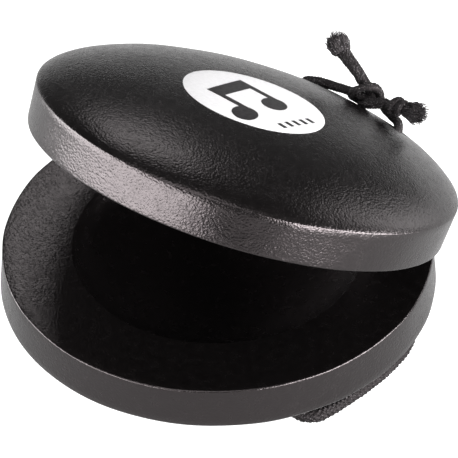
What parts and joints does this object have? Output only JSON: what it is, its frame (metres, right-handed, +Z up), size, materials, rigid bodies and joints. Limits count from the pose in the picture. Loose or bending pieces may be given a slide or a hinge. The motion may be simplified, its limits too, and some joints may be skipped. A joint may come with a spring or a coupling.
{
  "type": "castanets",
  "caption": "Round finger castanets, a pair of hollowed lacquered wooden shells laced at the back with a knotted elastic cord that hinges them, with a finger loop under the lower shell.",
  "frame": {"origin": "middle of the small flat on the crown of the lower shell, which the pair rests on", "axes": "+Z up, +Y towards the cord at the back, the mouth opens towards -Y, +X to the right seen from the mouth"},
  "size_m": [0.0591, 0.0622, 0.0408],
  "materials": {
    "lacquered_wood": "black lacquer, satin, with a fine pebbled texture",
    "badge_print": "white printed disc with a black mark, satin",
    "elastic_cord": "black braided elastic, matt",
    "frayed_cord": "loose black fibres, matt"
  },
  "bodies": {
    "lower": {"lower_shell": "lacquered_wood", "finger_loop": "elastic_cord"},
    "upper": {"upper_shell": "lacquered_wood", "badge": "badge_print", "hinge_knot": "elastic_cord", "tail_knot": "elastic_cord", "left_span": "elastic_cord", "right_span": "elastic_cord", "short_tail": "elastic_cord", "long_tail": "elastic_cord", "long_tail_fray": "frayed_cord", "short_tail_fray": "frayed_cord"}
  },
  "joints": [
    {"name": "clap", "type": "hinge", "parent": "lower", "child": "upper", "pos_m": [0, 0.0207, 0.00965], "axis": [1, 0, 0], "range_deg": [0, 27.9], "stiffness_Nm_per_rad": 0.03, "springref_deg": -17.19}
  ]
}
